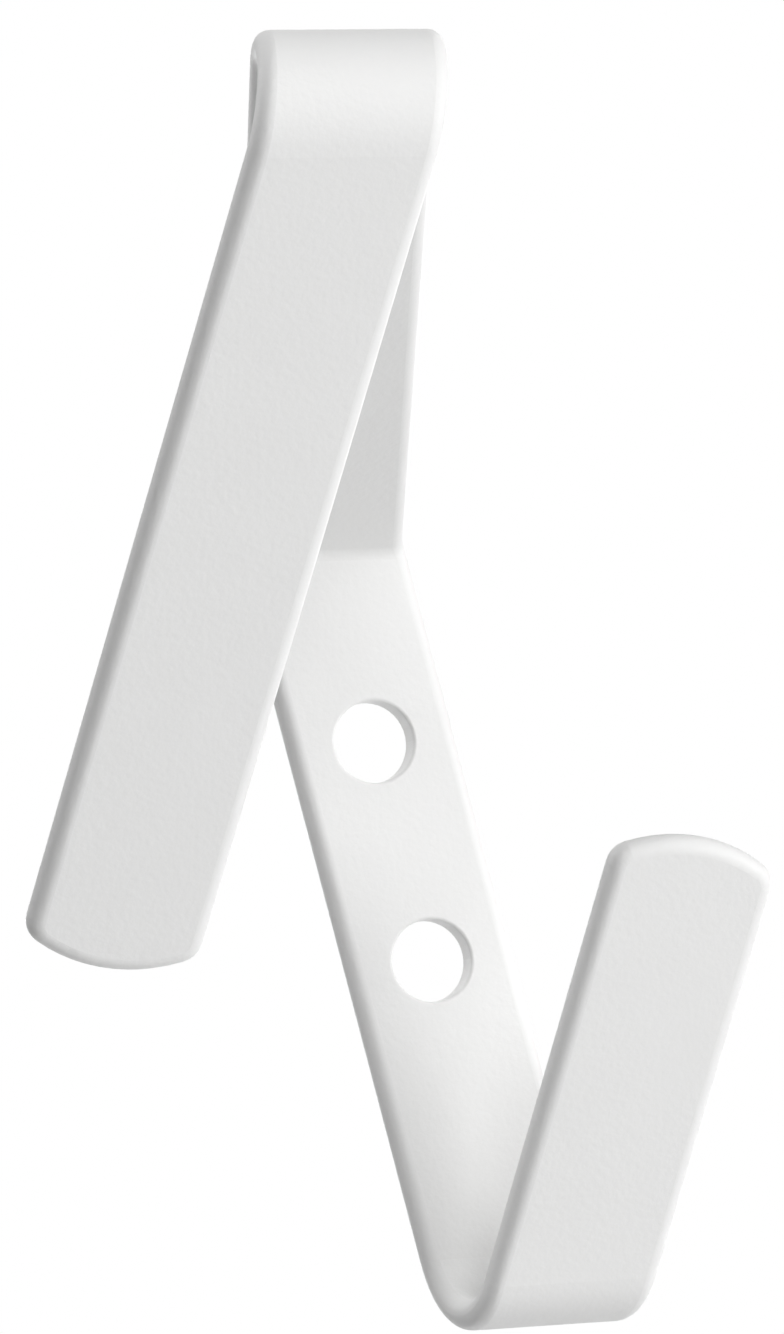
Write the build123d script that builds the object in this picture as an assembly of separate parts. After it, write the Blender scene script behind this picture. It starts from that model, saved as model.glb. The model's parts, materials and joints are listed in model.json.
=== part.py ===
from build123d import *

import math
import os

# Coat hook folded from one length of round-edged flat bar, powder coated.
#
# The bar runs at a slant across its folds, so the hook steps sideways at each bend like a zigzag.
# Its three bends turn the same way and their fold lines are parallel. From its lower free end the
# bar goes down the short front arm, round the tight bottom bend, up the flat wall plate with its
# two screw holes, out along the back leg, over the wide top bend and down the long front arm.
#
# Frame, in millimetres: the wall is the plane Y = 0 and the hook stands in front of it, at -Y.
# +Z is up and +X runs along the fold lines. The origin lies on the wall, midway between the holes.

# Bar section, with its coat
BAR_WIDTH = 15.1
BAR_THICKNESS = 2.6
EDGE_RADIUS = 1.25

# Slant of the bar across the fold lines, in degrees
SLANT = 11.4

# Lean of each run away from the vertical wall, in degrees
SHORT_ARM_LEAN = 26.5
BACK_LEG_LEAN = 63.0
LONG_ARM_LEAN = 30.0

# Bend radii at the middle of the bar's thickness
BOTTOM_BEND_RADIUS = 5.0
PLATE_BEND_RADIUS = 2.4
TOP_BEND_RADIUS = 6.2

# Straight lengths between bends, measured square to the fold lines
SHORT_ARM_LENGTH = 40.1
PLATE_BELOW_CENTRE = 35.6
PLATE_ABOVE_CENTRE = 25.6
BACK_LEG_LENGTH = 66.4
LONG_ARM_LENGTH = 69.3

# Free ends: a shallow arc between two small corners
END_ARC_RADIUS = 14.2
END_CORNER_RADIUS = 2.2

# Screw holes, on the bar's centre line
HOLE_DIAMETER = 7.2
HOLE_SPACING = 19.7
HOLE_RIM_RADIUS = 0.3

# Length of the cutter for each screw hole
HOLE_CUTTER_LENGTH = 10.0

# Extra length given to each run's blank, and the block that trims it at its bends
TRIM_ALLOWANCE = 12.0
TRIM_BLOCK = 400.0

# How closely an edge has to match a size or a place to be picked by it
TOLERANCE = 1e-6

HALF_TURN = 180.0

X_AXIS = Vector(1, 0, 0)


class Station:
    """A place on the bar's centre line: its point at mid-thickness and the lean of its run."""

    def __init__(self, point, angle):
        self.point = Vector(*point)
        self.angle = angle

    @property
    def up(self):
        """Direction square to the fold lines, within the run, towards the long arm's free end."""
        turn = math.radians(self.angle)
        return Vector(0, -math.sin(turn), math.cos(turn))

    @property
    def inward(self):
        """Normal of the run, on the side that every bend curls towards."""
        return X_AXIS.cross(self.up)

    @property
    def along(self):
        """Direction of the bar itself, slanted across the fold lines."""
        slant = math.radians(SLANT)
        return self.up * math.cos(slant) - X_AXIS * math.sin(slant)

    @property
    def across(self):
        """Direction of the bar's width."""
        slant = math.radians(SLANT)
        return X_AXIS * math.cos(slant) + self.up * math.sin(slant)

    def bar_plane(self):
        """Plane of the run at mid-thickness: x across the bar, y along it, z inward."""
        return Plane(origin=self.point, x_dir=self.across, z_dir=self.inward)

    def fold_plane(self):
        """Plane through this place and the fold line, square to the run."""
        return Plane(origin=self.point, x_dir=X_AXIS, z_dir=self.up)

    def after_run(self, length):
        """Station at the far end of a straight run, whose length is square to the fold lines."""
        step = self.along * (length / math.cos(math.radians(SLANT)))
        return Station(self.point + step, self.angle)

    def after_bend(self, radius, turn):
        """Station at the far end of a bend, which shifts sideways by the slant as it turns."""
        centre = self.point + self.inward * radius
        turned = Station(self.point, self.angle + turn)
        shift = X_AXIS * (-radius * math.radians(turn) * math.tan(math.radians(SLANT)))
        return Station(centre - turned.inward * radius + shift, turned.angle)


def rounded_bar(outline, keep_square):
    """Thicken a flat outline to the bar's thickness and round its rims, but for the square ends."""
    blank = extrude(outline, amount=BAR_THICKNESS / 2, both=True)
    rims = blank.edges().filter_by(lambda e: abs(abs(e.center().Z) - BAR_THICKNESS / 2) < TOLERANCE)
    rims = rims.filter_by(lambda e: not keep_square(e))
    return fillet(rims, EDGE_RADIUS)


def bar_between(length):
    """A length of bar with both ends cut square, centred on the origin."""
    half = length / 2
    outline = Rectangle(BAR_WIDTH, length)
    return rounded_bar(outline, lambda e: abs(abs(e.center().Y) - half) < TOLERANCE)


def bar_with_free_end(length):
    """A length of bar from a square end at the origin to the crown of its rounded free end at +Y."""
    sides = Pos(0, length / 2) * Rectangle(BAR_WIDTH, length)
    crown = Pos(0, length - END_ARC_RADIUS) * Circle(END_ARC_RADIUS)
    shank = Pos(0, (length - END_ARC_RADIUS) / 2) * Rectangle(BAR_WIDTH, length - END_ARC_RADIUS)
    outline = sides & (crown + shank)
    corners = outline.vertices().sort_by(Axis.Y)[-2:]
    outline = fillet(corners, END_CORNER_RADIUS)
    return rounded_bar(outline, lambda e: e.center().Y < TOLERANCE)


def trimmed(solid, station, side):
    """Keep the part of a run that lies past (side 1) or before (side -1) a bend's tangent line."""
    block = Pos(0, 0, side * TRIM_BLOCK / 2) * Box(TRIM_BLOCK, TRIM_BLOCK, TRIM_BLOCK)
    return solid & (station.fold_plane().location * block)


def middle_run(start, end):
    """A straight run between two bends, trimmed along both fold lines."""
    length = (end.point - start.point).length
    middle = Station((start.point + end.point) * 0.5, start.angle)
    run = middle.bar_plane().location * bar_between(length + 2 * TRIM_ALLOWANCE)
    return trimmed(trimmed(run, start, 1), end, -1)


def end_run(station, length, side):
    """A run from its bend to the bar's free end, which lies along (side 1) or against (-1) the bar."""
    reach = length / math.cos(math.radians(SLANT))
    run = Pos(0, -TRIM_ALLOWANCE) * bar_with_free_end(reach + TRIM_ALLOWANCE)
    if side < 0:
        run = Rot(0, 0, HALF_TURN) * run
    return trimmed(station.bar_plane().location * run, station, side)


def bend(run, station, radius, turn, side):
    """Carry a run's end section round a bend, up (side 1) or down (-1) the screw path of the bar."""
    section = run.faces().filter_by(station.fold_plane()).sort_by_distance(station.point)[0]
    rise = radius * math.tan(math.radians(SLANT)) * math.radians(turn)
    lead = 2 * math.pi * radius * math.tan(math.radians(SLANT))
    path = Helix(pitch=lead, height=rise, radius=radius, lefthand=True)
    centre = station.point + station.inward * radius
    frame = Plane(origin=centre, x_dir=-station.inward, z_dir=X_AXIS * -side)
    return sweep(section, path=frame.location * path, is_frenet=True)


def screw_hole(offset):
    """Cutter for one screw hole, at a distance along the bar from the middle of the pair."""
    place = Station((0, 0, 0), 0).along * offset
    cutter = Cylinder(HOLE_DIAMETER / 2, HOLE_CUTTER_LENGTH)
    return Pos(place.X, 0, place.Z) * Rot(HALF_TURN / 2, 0, 0) * cutter


def bent_strip():
    """The whole hook."""
    centre = Station((0, -BAR_THICKNESS / 2, 0), 0)
    plate_foot = centre.after_run(-PLATE_BELOW_CENTRE)
    plate_head = centre.after_run(PLATE_ABOVE_CENTRE)
    bottom_turn = HALF_TURN - SHORT_ARM_LEAN
    top_turn = HALF_TURN + LONG_ARM_LEAN - BACK_LEG_LEAN

    leg_foot = plate_head.after_bend(PLATE_BEND_RADIUS, BACK_LEG_LEAN)
    leg_head = leg_foot.after_run(BACK_LEG_LENGTH)
    long_arm_root = leg_head.after_bend(TOP_BEND_RADIUS, top_turn)
    short_arm_root = plate_foot.after_bend(BOTTOM_BEND_RADIUS, -bottom_turn)

    plate = middle_run(plate_foot, plate_head)
    back_leg = middle_run(leg_foot, leg_head)
    long_arm = end_run(long_arm_root, LONG_ARM_LENGTH, 1)
    short_arm = end_run(short_arm_root, SHORT_ARM_LENGTH, -1)
    bends = [
        bend(plate, plate_foot, BOTTOM_BEND_RADIUS, bottom_turn, -1),
        bend(plate, plate_head, PLATE_BEND_RADIUS, BACK_LEG_LEAN, 1),
        bend(back_leg, leg_head, TOP_BEND_RADIUS, top_turn, 1),
    ]
    strip = Part() + [short_arm, plate, back_leg, long_arm] + bends

    for offset in (HOLE_SPACING / 2, -HOLE_SPACING / 2):
        strip = strip - screw_hole(offset)
    rims = strip.edges().filter_by(GeomType.CIRCLE)
    rims = rims.filter_by(lambda e: abs(e.radius - HOLE_DIAMETER / 2) < TOLERANCE)
    return fillet(rims, HOLE_RIM_RADIUS)


os.makedirs("parts", exist_ok=True)
hook = bent_strip()
export_step(hook, "parts/bent_strip.step")
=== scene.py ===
import json
import logging
import math
from collections.abc import Sequence
from dataclasses import dataclass
from enum import Enum
from typing import Any

import bmesh
import bpy
from mathutils import Matrix, Vector

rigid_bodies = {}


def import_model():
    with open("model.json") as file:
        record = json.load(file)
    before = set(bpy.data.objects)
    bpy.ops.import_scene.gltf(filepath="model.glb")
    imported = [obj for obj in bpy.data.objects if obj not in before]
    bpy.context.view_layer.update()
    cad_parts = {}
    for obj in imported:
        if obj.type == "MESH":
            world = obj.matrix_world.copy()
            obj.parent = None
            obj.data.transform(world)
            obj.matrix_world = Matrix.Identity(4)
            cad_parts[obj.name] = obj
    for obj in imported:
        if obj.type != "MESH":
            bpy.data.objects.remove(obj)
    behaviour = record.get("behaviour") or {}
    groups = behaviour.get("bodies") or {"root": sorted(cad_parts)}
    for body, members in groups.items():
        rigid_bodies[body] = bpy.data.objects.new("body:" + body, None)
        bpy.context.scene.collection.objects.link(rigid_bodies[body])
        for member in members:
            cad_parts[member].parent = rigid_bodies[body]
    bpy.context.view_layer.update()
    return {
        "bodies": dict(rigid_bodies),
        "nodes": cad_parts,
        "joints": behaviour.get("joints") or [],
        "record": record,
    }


# Coat hook folded from one flat bar, in fine-textured white powder coat, on a plain pale floor.
#
# The frame is the hook's own, in metres: the wall it hangs on is the plane Y = 0, the hook stands
# in front of it at -Y, +Z is up and +X runs along the fold lines. The hook itself is the solid from
# the frame; this script gives it its finish, and the floor, light and camera of its portrait.

MILLIMETRE = 0.001
WHITE = (1.0, 1.0, 1.0, 1.0)
OPAQUE = 1.0

# Sockets that are reached by index, because their names repeat within their node
MATH_FIRST = 0
MATH_SECOND = 1
MIX_FACTOR = 0
MIX_COLOUR_A = 6
MIX_COLOUR_B = 7
MIX_COLOUR_RESULT = 2
MIX_SHADER_A = 1
MIX_SHADER_B = 2

# What a noise gives on average, and the share of each finer octave in it
NOISE_MIDDLE = 0.5
OCTAVE_SHARE = 0.5

# Distance between the nodes of a tree, in the node editor's units
NODE_SPACING = 180.0

log = logging.getLogger("coat_hook")


def direction(azimuth: float, elevation: float) -> Vector:
    """Point from the hook to a place in its studio.

    Args:
        azimuth: degrees round the hook, from 0 straight in front of it to 90 at its right.
        elevation: degrees above the hook's own level.

    Returns:
        The direction, with a length of 1.
    """
    turn = math.radians(azimuth)
    rise = math.radians(elevation)
    return Vector((
        math.sin(turn) * math.cos(rise),
        -math.cos(turn) * math.cos(rise),
        math.sin(rise),
    ))


class Signal:
    """A shader socket that can be used in Python arithmetic."""

    def __init__(self, bench: "Bench", socket: bpy.types.NodeSocket) -> None:
        """Wrap a socket.

        Args:
            bench: the node tree's builder, which adds the Math nodes.
            socket: the output socket that carries the value.
        """
        self.bench = bench
        self.socket = socket

    def _math(self, operation: str, first: "Signal | float", second: "Signal | float") -> "Signal":
        """Add one Math node.

        Args:
            operation: the Math node's operation.
            first: a signal or a number.
            second: a signal or a number.

        Returns:
            The node's result.
        """
        return self.bench.node(
            "ShaderNodeMath",
            {"operation": operation},
            {MATH_FIRST: first, MATH_SECOND: second},
        )

    def __add__(self, other: "Signal | float") -> "Signal":
        """Sum of two values."""
        return self._math("ADD", self, other)

    def __radd__(self, other: float) -> "Signal":
        """Sum of a number and a signal."""
        return self._math("ADD", other, self)

    def __sub__(self, other: "Signal | float") -> "Signal":
        """Difference of two values."""
        return self._math("SUBTRACT", self, other)

    def __rsub__(self, other: float) -> "Signal":
        """Difference of a number and a signal."""
        return self._math("SUBTRACT", other, self)

    def __mul__(self, other: "Signal | float") -> "Signal":
        """Product of two values."""
        return self._math("MULTIPLY", self, other)

    def __rmul__(self, other: float) -> "Signal":
        """Product of a number and a signal."""
        return self._math("MULTIPLY", other, self)

    def larger(self, other: "Signal | float") -> "Signal":
        """The larger of two values."""
        return self._math("MAXIMUM", self, other)


class Bench:
    """Builds a node tree: one call for each node, laid out in the order they are made."""

    def __init__(self, tree: bpy.types.NodeTree) -> None:
        """Start on an emptied node tree.

        Args:
            tree: the tree of a material or of the world.
        """
        self.tree = tree
        self.tree.nodes.clear()
        self.count = 0

    def node(
        self,
        kind: str,
        settings: dict[str, Any],
        values: dict[str | int, Any],
        output: str | int = 0,
    ) -> Signal | None:
        """Add a node.

        Args:
            kind: the node's type.
            settings: the node's own properties, which are set first.
            values: numbers, colours or signals for its input sockets, by name or by index.
            output: the output socket that is wanted.

        Returns:
            The wanted output as a signal, or None for a node that ends its tree.
        """
        made = self.tree.nodes.new(kind)
        made.location = (self.count * NODE_SPACING, 0.0)
        self.count += 1
        for name, value in settings.items():
            setattr(made, name, value)
        for name, value in values.items():
            if isinstance(value, Signal):
                self.tree.links.new(value.socket, made.inputs[name])
            else:
                made.inputs[name].default_value = value
        return Signal(self, made.outputs[output]) if len(made.outputs) else None


@dataclass(frozen=True)
class CoatPattern:
    """One of the patterns in the coat: a noise with grains of one size, in metres."""

    size: float
    octaves: float

    def lay(self, bench: Bench, place: Signal) -> Signal:
        """Add the pattern's noise.

        Args:
            bench: the node tree's builder.
            place: the coordinates.

        Returns:
            The noise, which is NOISE_MIDDLE on average.
        """
        return bench.node(
            "ShaderNodeTexNoise",
            {"noise_dimensions": "3D"},
            {
                "Vector": place,
                "Scale": 1.0 / self.size,
                "Detail": self.octaves,
                "Roughness": OCTAVE_SHARE,
            },
        )


@dataclass(frozen=True)
class PowderCoat:
    """Fine-textured matt white powder coat.

    The cured powder has a very fine orange peel and a finer grain, and its tone drifts a little.
    """

    colour: tuple[float, float, float] = (0.87, 0.87, 0.865)
    roughness: float = 0.58
    roughness_drift: float = 0.06
    specular: float = 0.35
    peel: CoatPattern = CoatPattern(size=0.6 * MILLIMETRE, octaves=2.0)
    peel_depth: float = 0.022 * MILLIMETRE
    grain: CoatPattern = CoatPattern(size=0.14 * MILLIMETRE, octaves=1.0)
    grain_tone: float = 0.025
    drift: CoatPattern = CoatPattern(size=9.0 * MILLIMETRE, octaves=2.0)
    drift_tone: float = 0.012

    def material(self, name: str) -> bpy.types.Material:
        """Make the finish.

        Args:
            name: the material's name.

        Returns:
            A material that reads Object coordinates.
        """
        made = bpy.data.materials.new(name)
        made.use_nodes = True
        bench = Bench(made.node_tree)
        place = bench.node("ShaderNodeTexCoord", {}, {}, output="Object")
        peel = self.peel.lay(bench, place)
        grain = self.grain.lay(bench, place) - NOISE_MIDDLE
        drift = self.drift.lay(bench, place) - NOISE_MIDDLE
        tone = 1.0 + grain * self.grain_tone + drift * self.drift_tone
        grey = bench.node("ShaderNodeCombineColor", {}, {"Red": tone, "Green": tone, "Blue": tone})
        colour = bench.node(
            "ShaderNodeMix",
            {"data_type": "RGBA", "blend_type": "MULTIPLY"},
            {MIX_FACTOR: 1.0, MIX_COLOUR_A: (*self.colour, OPAQUE), MIX_COLOUR_B: grey},
            output=MIX_COLOUR_RESULT,
        )
        relief = bench.node(
            "ShaderNodeBump",
            {},
            {"Strength": 1.0, "Distance": self.peel_depth, "Height": peel},
        )
        surface = bench.node(
            "ShaderNodeBsdfPrincipled",
            {},
            {
                "Base Color": colour,
                "Roughness": self.roughness + (peel - NOISE_MIDDLE) * self.roughness_drift,
                "Specular IOR Level": self.specular,
                "Normal": relief,
            },
        )
        bench.node("ShaderNodeOutputMaterial", {}, {"Surface": surface})
        return made


@dataclass
class BentStrip:
    """The hook: one solid from the frame, which keeps its shape and takes its finish here."""

    node: str = "bent_strip"
    finish: PowderCoat = PowderCoat()

    def dress(self, frame: dict[str, Any]) -> bpy.types.Object:
        """Give the hook its powder coat.


        Returns:
            The hook's object.
        """
        hook = frame["nodes"][self.node]
        coat = self.finish.material("fine_textured_powder_coat")
        if not hook.material_slots:
            hook.data.materials.append(coat)
        for slot in hook.material_slots:
            slot.material = coat
        return hook


class LampPlace(Enum):
    """Where a lamp stands round the hook, seen by someone who faces the wall."""

    RIGHT = "right"
    FRONT_RIGHT = "front_right"
    BACK_RIGHT = "back_right"
    BACK = "back"
    UPPER_FRONT = "upper_front"
    UPPER_RIGHT = "upper_right"
    UPPER_BACK_LEFT = "upper_back_left"
    HIGH_FRONT = "high_front"
    HIGH_LEFT = "high_left"


@dataclass(frozen=True)
class Lamp:
    """A soft square lamp that looks at the hook, in degrees, watts and metres."""

    place: LampPlace
    azimuth: float
    elevation: float
    power: float
    distance: float = 0.8
    width: float = 0.25

    def hang(self, target: Vector) -> bpy.types.Object:
        """Put the lamp up, where no camera sees it.

        Args:
            target: the point that it looks at.

        Returns:
            The lamp's object.
        """
        away = direction(self.azimuth, self.elevation)
        light = bpy.data.lights.new(f"lamp_{self.place.value}", "AREA")
        light.shape = "SQUARE"
        light.size = self.width
        light.energy = self.power
        made = bpy.data.objects.new(light.name, light)
        made.location = target + away * self.distance
        made.rotation_euler = away.to_track_quat("Z", "Y").to_euler()
        made.visible_camera = False
        bpy.context.scene.collection.objects.link(made)
        return made


@dataclass
class Studio:
    """A pale floor below the hook, soft lamps round it and a plain white surround.

    The lamps' powers give each face of the hook its tone in the portrait, and keep its sides and
    back below white. `floor_white` is the share of plain white that a camera sees in the floor.
    """

    floor_height: float = -0.3
    floor_width: float = 2.0
    floor_colour: tuple[float, float, float] = (0.86, 0.86, 0.86)
    floor_white: float = 0.8
    target: tuple[float, float, float] = (-0.01, -0.035, 0.01)
    lamps: tuple[Lamp, ...] = (
        Lamp(LampPlace.RIGHT, azimuth=60.0, elevation=0.0, power=2.95),
        Lamp(LampPlace.FRONT_RIGHT, azimuth=45.0, elevation=0.0, power=0.9),
        Lamp(LampPlace.BACK_RIGHT, azimuth=150.0, elevation=0.0, power=2.8),
        Lamp(LampPlace.UPPER_FRONT, azimuth=0.0, elevation=30.0, power=2.3),
        Lamp(LampPlace.UPPER_RIGHT, azimuth=30.0, elevation=30.0, power=0.35),
        Lamp(LampPlace.BACK, azimuth=180.0, elevation=0.0, power=1.0),
        Lamp(LampPlace.UPPER_BACK_LEFT, azimuth=-135.0, elevation=30.0, power=2.05),
        Lamp(LampPlace.HIGH_FRONT, azimuth=0.0, elevation=60.0, power=0.65),
        Lamp(LampPlace.HIGH_LEFT, azimuth=-60.0, elevation=60.0, power=0.8),
    )

    def build(self) -> None:
        """Make the floor, the lamps and the surround."""
        floor = self._floor()
        log.info("laid %s", floor.name)
        for lamp in self.lamps:
            hung = lamp.hang(Vector(self.target))
            log.info("hung %s", hung.name)
        surround = self._surround()
        log.info("made %s", surround.name)

    def _floor(self) -> bpy.types.Object:
        """Make the floor.

        Returns:
            The floor's object.
        """
        mesh = bpy.data.meshes.new("studio_floor")
        shape = bmesh.new()
        bmesh.ops.create_grid(shape, x_segments=1, y_segments=1, size=self.floor_width / 2)
        bmesh.ops.translate(shape, verts=shape.verts, vec=(0.0, 0.0, self.floor_height))
        shape.to_mesh(mesh)
        shape.free()
        mesh.materials.append(self._floor_material())
        floor = bpy.data.objects.new("studio_floor", mesh)
        bpy.context.scene.collection.objects.link(floor)
        return floor

    def _floor_material(self) -> bpy.types.Material:
        """Make the floor's material.

        Returns:
            A matt material that takes the lamps' light and shadows, whitened where it is seen.
        """
        made = bpy.data.materials.new("pale_floor")
        made.use_nodes = True
        bench = Bench(made.node_tree)
        lit = bench.node("ShaderNodeBsdfDiffuse", {}, {"Color": (*self.floor_colour, OPAQUE)})
        white = bench.node("ShaderNodeEmission", {}, {"Color": WHITE, "Strength": 1.0})
        share = self._seen(bench) * self.floor_white
        surface = bench.node(
            "ShaderNodeMixShader",
            {},
            {MIX_FACTOR: share, MIX_SHADER_A: lit, MIX_SHADER_B: white},
        )
        bench.node("ShaderNodeOutputMaterial", {}, {"Surface": surface})
        return made

    def _surround(self) -> bpy.types.World:
        """Make the surround, white where it is seen and dark to the rays that light the hook.

        Returns:
            The world, which is the scene's from here on.
        """
        world = bpy.data.worlds.new("plain_surround")
        world.use_nodes = True
        bench = Bench(world.node_tree)
        surface = bench.node(
            "ShaderNodeBackground",
            {},
            {"Color": WHITE, "Strength": self._seen(bench)},
        )
        bench.node("ShaderNodeOutputWorld", {}, {"Surface": surface})
        bpy.context.scene.world = world
        return world

    def _seen(self, bench: Bench) -> Signal:
        """Tell the rays that show the studio from the rays that light the hook.

        Args:
            bench: the node tree's builder.

        Returns:
            1 for a ray from the camera, also by way of a gloss or through glass, and otherwise 0.
        """
        camera, gloss, glass = (
            bench.node("ShaderNodeLightPath", {}, {}, output=kind)
            for kind in ("Is Camera Ray", "Is Glossy Ray", "Is Transmission Ray")
        )
        return camera.larger(gloss).larger(glass)


@dataclass
class PortraitCamera:
    """A long lens a little to the left of the hook, looking slightly up at it.

    The picture is 784 by 1334 pixels. Its principal point is its centre, and the hook's origin
    shows at `origin_pixel`. Angles are in degrees, `distance` in metres and `sensor_height` in
    millimetres.
    """

    picture: tuple[float, float] = (784.0, 1334.0)
    origin_pixel: tuple[float, float] = (394.53, 853.54)
    focal_pixels: float = 6829.5
    distance: float = 0.5971
    azimuth: float = -17.477
    elevation: float = -5.743
    roll: float = -3.885
    sensor_height: float = 36.0

    def place(self) -> bpy.types.Object:
        """Make the camera and make it the scene's.

        Returns:
            The camera's object.
        """
        turn = math.radians(self.azimuth)
        roll = math.radians(self.roll)
        ahead = -direction(self.azimuth, self.elevation)
        level = Vector((math.cos(turn), math.sin(turn), 0.0))
        upright = level.cross(ahead)
        right = level * math.cos(roll) + upright * math.sin(roll)
        up = upright * math.cos(roll) - level * math.sin(roll)
        across = (self.origin_pixel[0] - self.picture[0] / 2) / self.focal_pixels
        down = (self.origin_pixel[1] - self.picture[1] / 2) / self.focal_pixels
        eye = (up * down - right * across - ahead) * self.distance

        lens = bpy.data.cameras.new("portrait_camera")
        lens.sensor_fit = "VERTICAL"
        lens.sensor_height = self.sensor_height
        lens.lens = self.focal_pixels * self.sensor_height / self.picture[1]
        made = bpy.data.objects.new("portrait_camera", lens)
        facing = Matrix((right, up, -ahead)).transposed()
        made.matrix_world = Matrix.Translation(eye) @ facing.to_4x4()
        bpy.context.scene.collection.objects.link(made)
        bpy.context.scene.camera = made
        return made


def main() -> None:
    """Dress the hook, then build its studio and camera."""
    logging.basicConfig(level=logging.INFO, format="%(name)s: %(message)s")
    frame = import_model()

    hook = BentStrip().dress(frame)
    log.info("dressed %s", hook.name)
    Studio().build()
    camera = PortraitCamera().place()
    log.info("placed %s", camera.name)

    bpy.context.scene.view_settings.view_transform = "Standard"


if __name__ == "__main__":
    main()
